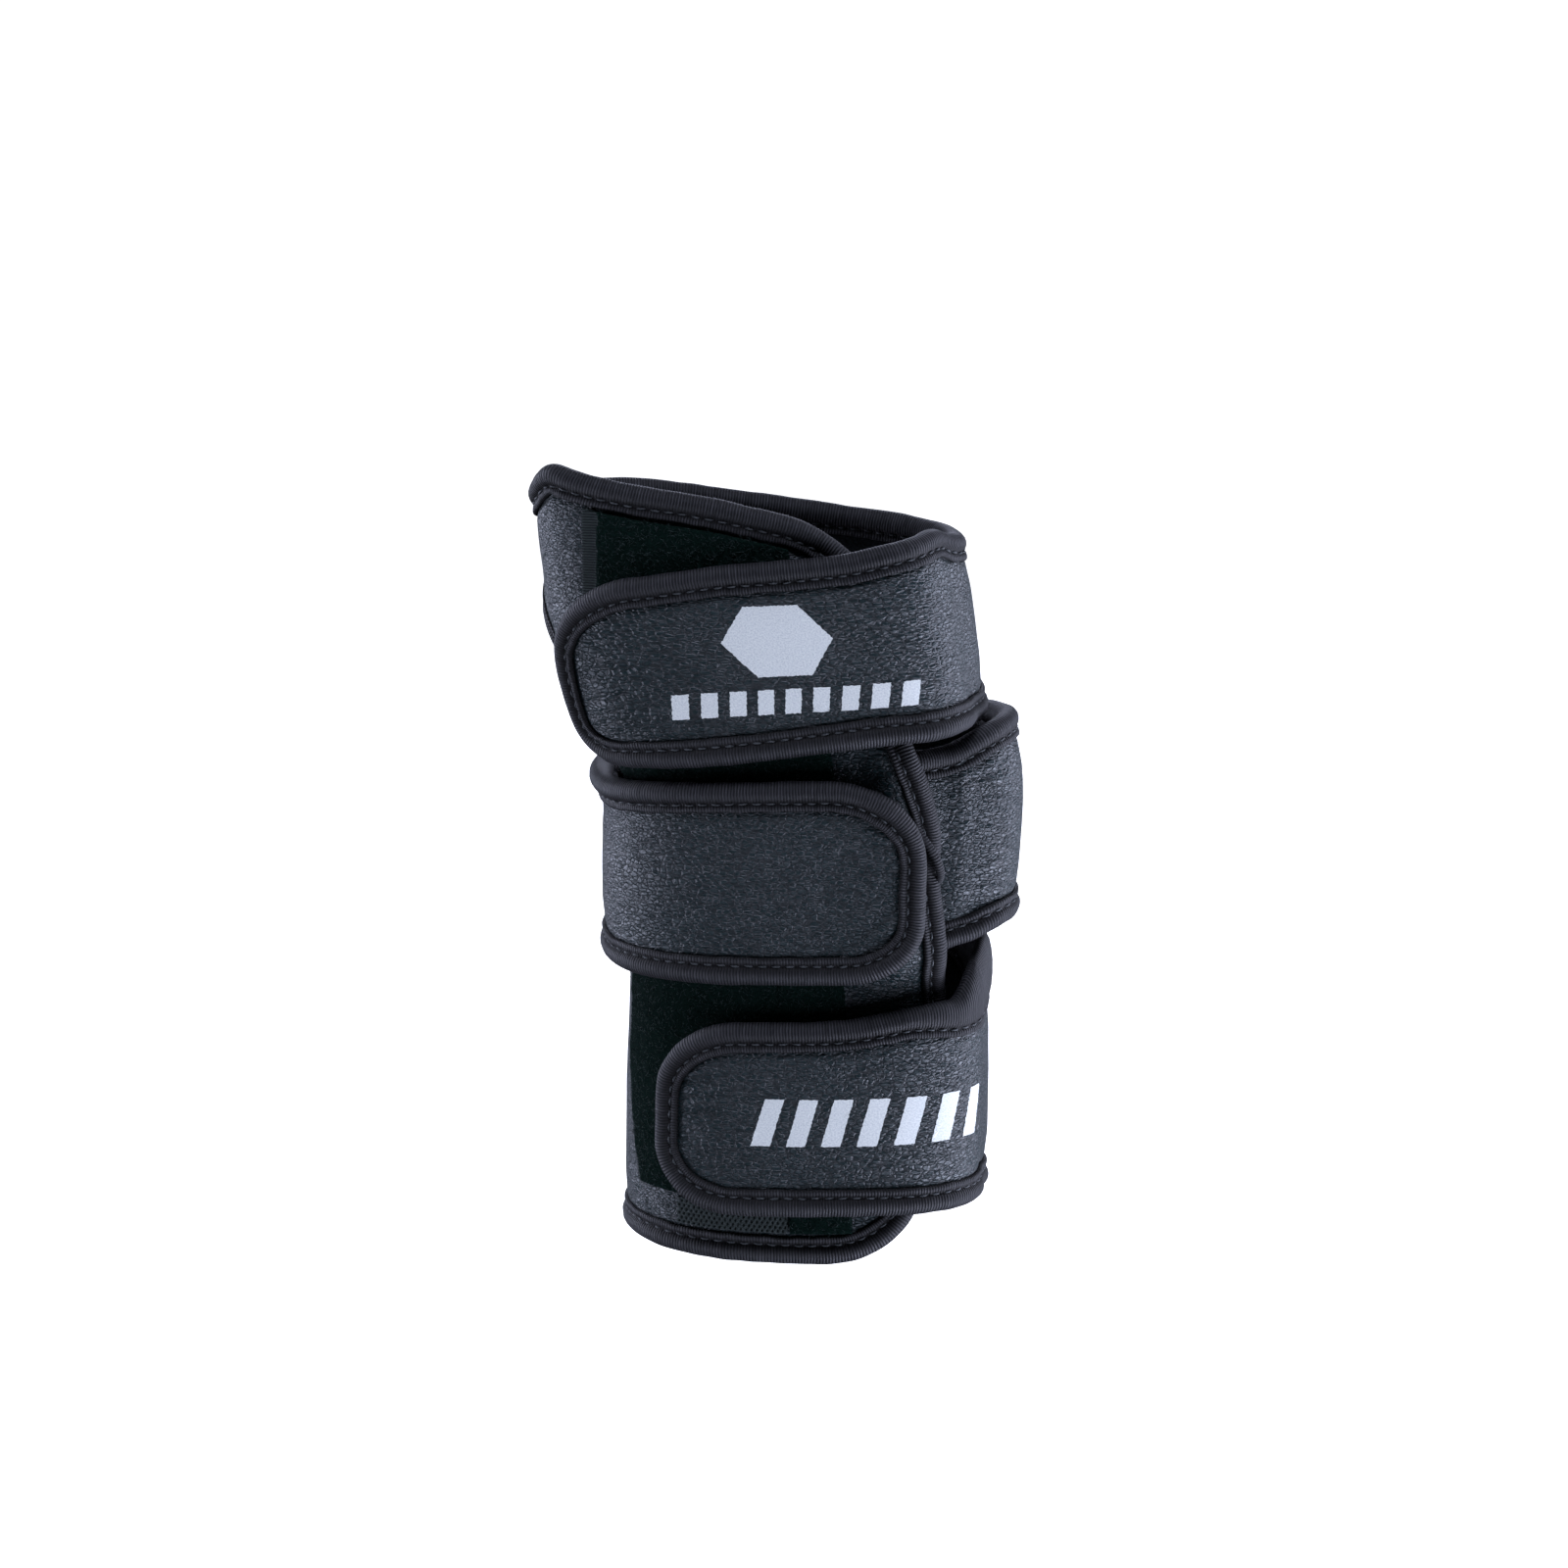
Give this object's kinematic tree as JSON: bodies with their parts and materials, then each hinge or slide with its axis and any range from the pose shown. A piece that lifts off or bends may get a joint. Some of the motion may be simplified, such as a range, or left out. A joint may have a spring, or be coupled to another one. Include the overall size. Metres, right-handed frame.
{
  "type": "bowling glove",
  "caption": "Fingerless bowling wrist-support glove for the right hand: padded leather back panel with bound edges and straps round hand, wrist and forearm.",
  "frame": {"origin": "the middle of the wrist hollow, at the height of the wrist strap", "axes": "+Z from the forearm to the fingers, -Y to the back of the hand, +X to the little-finger side"},
  "size_m": [0.1026, 0.0671, 0.1672],
  "materials": {
    "leather": "fine-grained black leather",
    "binding": "ribbed black binding ribbon",
    "loop_tape": "black loop fastening tape",
    "webbing": "open-knit black webbing"
  },
  "bodies": {
    "root": {"back_panel": "leather", "back_panel_binding": "binding", "thumb_arch_binding": "binding", "hand_strap": "leather", "hand_strap_binding": "binding", "wrist_strap": "leather", "wrist_strap_binding": "binding", "forearm_strap": "leather", "forearm_strap_binding": "binding", "loop_tape": "loop_tape", "webbing_tab": "webbing"}
  },
  "joints": []
}
